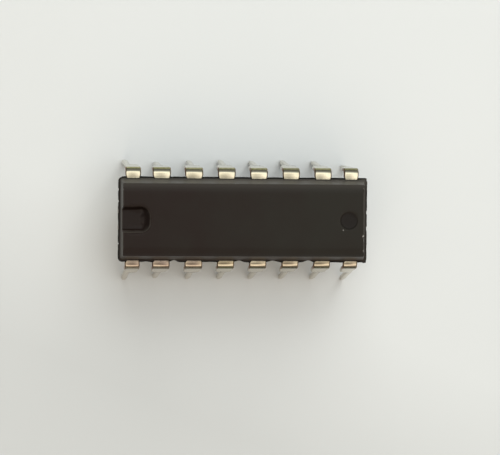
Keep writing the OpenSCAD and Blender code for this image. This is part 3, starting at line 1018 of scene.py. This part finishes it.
def platingMaterial():
    material, shader, tree, place = newMaterial("leadPlating")
    strip = meshValue(tree, "stripPlace", "Vector")
    darkening, onLeg, bend = (meshValue(tree, name) for name in ("leadDarkening", "legMask", "bendMask"))
    clouds = cloudsNode(tree, place, 1.3, 1.6)
    lines = placeGroup(tree, streaks, {"Place": strip, "Across": 34.0, "Along": 1.4})
    warmth = times(tree, darkening, plus(tree, clouds, 0.45), clamp=True)
    flat = rangeNode(tree, meshValue(tree, "flatShadeMask"), 0.0, 1.0, 0.45, 1.35)   # painted highlight: the darkening is weaker on the bend than on the flat
    warmth = times(tree, warmth, flat, clamp=True)
    colour = mixColour(tree, warmth, plating["bright"], plating["warm"])
    blush = times(tree, meshValue(tree, "leadBlush"), plus(tree, clouds, 0.3), clamp=True)
    colour = mixColour(tree, blush, colour, plating["blush"])
    # painted reflection of the paper on the legs
    colour = tint(tree, colour, onLeg, 0.85, mixColour(tree, darkening, plating["leg"], plating["darkerLegReflection"]))
    colour = tint(tree, colour, lines["Mask"], 0.1, plating["stained"])
    # painted dark reflection on the outside of the bend, with a crack texture through it
    cracks = noiseNode(tree, stretched(tree, strip, (5.0, 26.0, 3.0)), 1.0, 3.0, 0.6)
    cracks = rangeNode(tree, cracks, 0.3, 0.6)
    bent = times(tree, bend, plus(tree, times(tree, cracks, 0.35), 0.65), clamp=True)
    colour = tint(tree, colour, bent, minus(tree, 1.0, meshValue(tree, "leadBlush")), plating["stretched"])
    colour = tint(tree, colour, bent, meshValue(tree, "leadBendShade"), plating["paintedShade"])
    # painted shade on the sheared sides, darker on the side towards the notch, away from the light, and paler
    # on the legs
    sides = times(tree, meshValue(tree, "cutMask"), plus(tree, clouds, 0.65), clamp=True)
    sides = times(tree, sides, rangeNode(tree, axes(tree, strip)["X"], -0.2, 0.2, 1.8, 0.8), clamp=True)
    sides = times(tree, sides, rangeNode(tree, onLeg, 0.0, 1.0, 1.0, 0.22))
    colour = mixColour(tree, sides, colour, plating["paintedShade"])
    raw = placeGroup(tree, wear, {"Place": place, "Edge": meshValue(tree, "rawMask"), "Scale": 5.0,
                                  "Amount": 0.8})["Mask"]
    colour = tint(tree, colour, raw, 0.75, plating["copper"])
    # resin bled onto the leads near the case wall, with painted shade there
    atWall = times(tree, meshValue(tree, "wallMask"), noiseNode(tree, place, 4.0, 3.0), clamp=True)
    colour = tint(tree, colour, atWall, 0.85, plating["wallBleedAndShade"])
    spots = placeGroup(tree, dust, {"Place": place, "Scale": 3.2, "Size": 0.1, "Rarity": 0.8})["Mask"]
    colour = tint(tree, colour, spots, 0.5, plating["stained"])
    rough = plus(tree, plating["roughness"], times(tree, clouds, 0.08))
    for share, amount in ((bent, 0.05), (sides, 0.2), (lines["Mask"], 0.04), (atWall, 0.15)):
        rough = plus(tree, rough, times(tree, share, amount))
    metallic = minus(tree, 1.0, times(tree, atWall, 0.4))
    height = plus(tree, lines["Height"], times(tree, cracks, bend))
    return finishMaterial(material, shader, colour, rough, height, plating["bump"], metallic)


bareCopper = {
    "bright": (0.72, 0.42, 0.27), "dull": (0.50, 0.27, 0.16), "lines": (0.30, 0.16, 0.10),
    "silver": (0.82, 0.80, 0.77), "silverHalf": 1.7,            # the silver spot where the die sits
    "cut": (0.44, 0.43, 0.40), "cutFrom": 9.5, "cutTo": 9.6,    # the cut ends of the tie bars
    "roughness": (0.26, 0.42), "bump": (0.3, 0.006),
}


def frameMaterial():
    material, shader, tree, place = newMaterial("bareLeadFrame")
    fromMiddle = mathNode(tree, "ABSOLUTE", axes(tree, place)["X"])
    along = stretched(tree, place, (0.1, 1.0, 1.0))
    lines = placeGroup(tree, streaks, {"Place": along, "Across": 3.0, "Along": 30.0})
    clouds = cloudsNode(tree, place, 1.1, 1.8)
    colour = mixColour(tree, clouds, bareCopper["bright"], bareCopper["dull"])
    colour = tint(tree, colour, lines["Mask"], 0.25, bareCopper["lines"])
    onPad = mathNode(tree, "LESS_THAN", fromMiddle, bareCopper["silverHalf"])
    colour = mixColour(tree, onPad, colour, bareCopper["silver"])
    atCut = rangeNode(tree, fromMiddle, bareCopper["cutFrom"], bareCopper["cutTo"])
    colour = mixColour(tree, atCut, colour, bareCopper["cut"])
    rough = rangeNode(tree, clouds, 0.0, 1.0, *bareCopper["roughness"])
    return finishMaterial(material, shader, colour, rough, lines["Height"], bareCopper["bump"], 1.0)


silverGlue = {
    "resin": (0.42, 0.41, 0.39), "flake": (0.80, 0.79, 0.76), "shade": (0.30, 0.28, 0.25),
    "roughness": (0.55, 0.3), "metallic": (0.2, 0.9), "bump": (0.5, 0.006),
}


def glueMaterial():
    material, shader, tree, place = newMaterial("silverGlue")
    flakes = placeGroup(tree, grain, {"Place": place, "Scale": 60.0, "Grains": 0.52})
    clouds = cloudsNode(tree, place, 3.0, 1.4)
    colour = mixColour(tree, flakes["Grain"], silverGlue["resin"], silverGlue["flake"])
    colour = tint(tree, colour, clouds, 0.3, silverGlue["shade"])
    rough, metallic = (rangeNode(tree, flakes["Grain"], 0.0, 1.0, *silverGlue[name])
                       for name in ("roughness", "metallic"))
    return finishMaterial(material, shader, colour, rough, flakes["Height"], silverGlue["bump"], metallic)


chipFace = {
    "blocks": {"Color1": (0.10, 0.13, 0.20), "Color2": (0.22, 0.17, 0.26), "Mortar": (0.42, 0.44, 0.36),
               "Scale": 1.0, "Mortar Size": 0.006, "Brick Width": 0.19, "Row Height": 0.12},
    "cells": (0.30, 0.36, 0.33), "film": (0.13, 0.26, 0.22), "edge": (0.14, 0.145, 0.16),
    "topFrom": 5.70, "topTo": 5.72, "roughness": (0.16, 0.34), "metallic": 0.55, "bump": (0.2, 0.004),
}


def siliconMaterial():
    # Etched blocks of circuitry on top of a dark polished chip
    material, shader, tree, place = newMaterial("siliconChip")
    blocks = addNode(tree, "ShaderNodeTexBrick", {"Vector": place, **chipFace["blocks"]}).outputs["Color"]
    cells = addNode(tree, "ShaderNodeTexVoronoi", {"Vector": place, "Scale": 26.0}, distance="MANHATTAN",
                    feature="F1").outputs["Distance"]
    circuit = tint(tree, blocks, cells, 0.8, chipFace["cells"])
    clouds = cloudsNode(tree, place, 1.2, 1.2)
    circuit = tint(tree, circuit, clouds, 0.4, chipFace["film"])
    onTop = rangeNode(tree, axes(tree, place)["Z"], chipFace["topFrom"], chipFace["topTo"])
    colour = mixColour(tree, onTop, chipFace["edge"], circuit)
    rough = rangeNode(tree, cells, 0.0, 1.0, *chipFace["roughness"])
    return finishMaterial(material, shader, colour, rough, cells, chipFace["bump"], chipFace["metallic"])


goldWire = {"bright": (0.95, 0.70, 0.28), "deep": (0.86, 0.58, 0.20), "roughness": (0.18, 0.34),
            "bump": (0.2, 0.002)}


def wireMaterial():
    material, shader, tree, place = newMaterial("goldWire")
    fine = placeGroup(tree, grain, {"Place": place, "Scale": 50.0, "Grains": 0.55})
    clouds = cloudsNode(tree, place, 4.0, 1.2)
    colour = mixColour(tree, clouds, goldWire["bright"], goldWire["deep"])
    rough = rangeNode(tree, fine["Height"], 0.5, 1.3, *goldWire["roughness"])
    return finishMaterial(material, shader, colour, rough, fine["Height"], goldWire["bump"], 1.0)


def paint(piece, material):
    piece.data.materials.clear()
    piece.data.materials.append(material)


paint(casePiece, epoxyMaterial())
plated = platingMaterial()
for piece in leadPieces:
    paint(piece, plated)
paint(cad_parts["die_pad"], frameMaterial())
paint(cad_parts["die_attach"], glueMaterial())
paint(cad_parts["die"], siliconMaterial())
gold = wireMaterial()
for number in range(1, 17):
    paint(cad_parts["bond_wire_%d" % number], gold)
print("materials: epoxy, plating, lead frame, glue, silicon and gold")


# floor and light
studio = {
    "floorSize": 1.2, "paper": (0.640, 0.670, 0.662), "paperShade": (0.552, 0.577, 0.568),
    "paperRoughness": 0.9, "paperShine": 0.2, "paperBump": (0.15, 0.02),
    "slant": 0.45, "fadeFrom": -4.0, "fadeTo": -18.0,  # painted shade: the paper darkens towards -X and -Y, in mm
    # the sky's brightness as (height, brightness) from the horizon up: a bright belt round a plain middle
    "belt": ((0.0, 0.18), (0.26, 0.19), (0.5, 0.26), (0.64, 0.38), (0.72, 0.58), (0.79, 1.0), (0.86, 1.55),
             (0.93, 1.5), (0.966, 0.93), (1.0, 0.38)),
    "beltLean": -15, "skyStrength": 0.76, "warmSide": (1.12, 0.96, 0.82), "coolSide": (0.97, 0.985, 0.96),
    "lamps": {  # place in mm, size in m, power in W, colour
        "windowLight": ((132, 115, 325), 0.44, 0.66, (0.93, 1.01, 1.11)),
        "backLight": ((60, 270, 180), 0.3, 0.88, (1.02, 1.0, 0.96)),
        "roomLight": ((-5, -250, 120), 0.3, 0.19, (1.0, 0.79, 0.57)),
    },
}


def floorMaterial():
    material, shader, tree, place = newMaterial("palePaper")
    x, y, z = axes(tree, place)
    clouds = cloudsNode(tree, place, 0.05, 0.35)
    slant = plus(tree, y, times(tree, x, studio["slant"]))
    fade = rangeNode(tree, slant, studio["fadeFrom"], studio["fadeTo"])
    fade = plus(tree, fade, minus(tree, clouds, 0.5), clamp=True)
    colour = mixColour(tree, fade, studio["paper"], studio["paperShade"])
    fibres = noiseNode(tree, place, 3.5, 4.0, 0.6)
    return finishMaterial(material, shader, colour, studio["paperRoughness"], fibres, studio["paperBump"],
                          shine=studio["paperShine"])


def makeFloor():
    half, count = studio["floorSize"] / 2 / mm, 24
    side = steps(-half, half, count)
    points = [(x, y, 0) for y in side for x in side]
    row = count + 1
    faces = [[j * row + i, j * row + i + 1, (j + 1) * row + i + 1, (j + 1) * row + i]
             for j in range(count) for i in range(count)]
    mesh = bpy.data.meshes.new("paperFloor")
    mesh.from_pydata([Vector(p) * mm for p in points], [], faces)
    floor = bpy.data.objects.new("paperFloor", mesh)
    bpy.context.scene.collection.objects.link(floor)
    paint(floor, floorMaterial())


def makeLight():
    world = bpy.data.worlds.new("softSky")
    world.use_nodes = True
    tree = world.node_tree
    sky = tree.nodes["Background"]
    peak = max(brightness for place, brightness in studio["belt"])
    sky.inputs["Strength"].default_value = studio["skyStrength"] * peak
    way = addNode(tree, "ShaderNodeTexCoord").outputs["Generated"]
    lean = math.radians(studio["beltLean"])
    leaned = addNode(tree, "ShaderNodeVectorRotate", {"Vector": way, "Angle": lean}, rotation_type="X_AXIS")
    belt = addNode(tree, "ShaderNodeValToRGB", {"Fac": axes(tree, leaned.outputs[0])["Z"]})
    belt.color_ramp.interpolation = "CARDINAL"
    stops = belt.color_ramp.elements
    for place, brightness in studio["belt"]:
        stop = stops[0] if place == 0 else stops[-1] if place == 1 else stops.new(place)
        stop.color = (brightness / peak, brightness / peak, brightness / peak, 1)  # a curved ramp stops at 1
    across = rangeNode(tree, axes(tree, way)["Y"], -0.5, 0.5)
    tone = mixColour(tree, across, studio["warmSide"], studio["coolSide"])
    tree.links.new(mixColour(tree, 1.0, belt.outputs["Color"], tone, "MULTIPLY"), sky.inputs["Color"])
    layOut(tree)
    bpy.context.scene.world = world
    for name, (place, size, power, colour) in studio["lamps"].items():
        data = bpy.data.lights.new(name, "AREA")
        data.shape, data.size = "SQUARE", size
        data.energy, data.color = power, colour
        lamp = bpy.data.objects.new(name, data)
        lamp.location = Vector(place) * mm
        lamp.rotation_euler = lamp.location.to_track_quat("Z", "Y").to_euler()
        lamp.visible_glossy = False  # the metal shows the sky's bright belt instead
        bpy.context.scene.collection.objects.link(lamp)


makeFloor()
makeLight()
bpy.context.scene.view_settings.view_transform = "Standard"
print("studio: paper floor, soft sky and three broad lamps")
